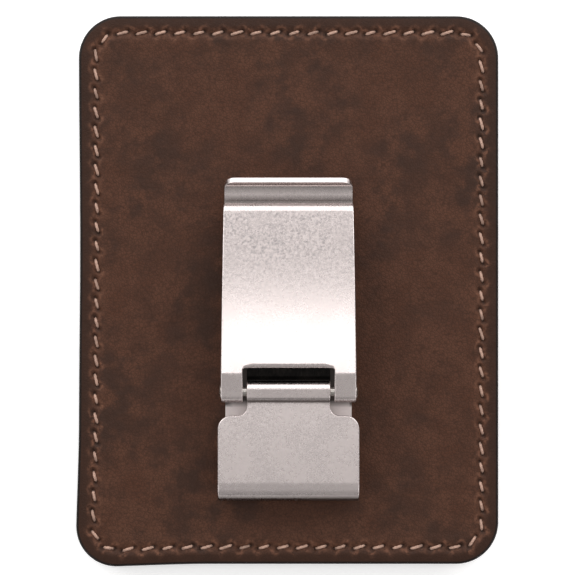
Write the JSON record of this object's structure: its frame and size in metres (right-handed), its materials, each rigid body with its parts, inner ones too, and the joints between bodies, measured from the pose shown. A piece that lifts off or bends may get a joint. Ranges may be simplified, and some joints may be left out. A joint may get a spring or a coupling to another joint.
{
  "type": "money clip card case",
  "caption": "Stitched leather card case with a steel clip: a sprung arm on a hinge pin holds folded banknotes against the front panel.",
  "frame": {"origin": "under the middle of the case, on the outer face of the outermost card pocket", "axes": "+Z out of the front panel, on the clip's side; +X across the notes, from the closed long edge to the card mouths' edge; +Y along the clip from its hinge end to its nose"},
  "size_m": [0.07, 0.0914, 0.0156],
  "materials": {
    "case_leather": "dark brown, waxed, fine grain",
    "pocket_leather": "dark brown, waxed, thinner split",
    "board": "bonded leather board",
    "thread": "waxed tan thread",
    "plated_steel": "satin nickel plate with fine wear",
    "pin_steel": "bright steel",
    "spring_steel": "blackened spring steel"
  },
  "bodies": {
    "case": {"front_panel": "case_leather", "stiffener_board": "board", "back_panel": "case_leather", "upper_card_pocket": "pocket_leather", "middle_card_pocket": "pocket_leather", "lower_card_pocket": "pocket_leather", "front_stitching": "thread", "back_stitching": "thread", "upper_pocket_seam": "thread", "middle_pocket_seam": "thread", "base_bracket": "plated_steel", "base_rivets": "plated_steel", "rivet_washers": "plated_steel"},
    "arm": {"clip_arm": "plated_steel", "hinge_pin": "pin_steel", "leaf_spring": "spring_steel", "spring_studs": "pin_steel"}
  },
  "joints": [
    {"name": "arm_hinge", "type": "hinge", "parent": "case", "child": "arm", "pos_m": [0, -0.0166, 0.0132], "axis": [1, 0, 0], "range_deg": [0, 95], "stiffness_Nm_per_rad": 0.03, "springref_deg": -45.84, "deforming": ["leaf_spring"]}
  ]
}
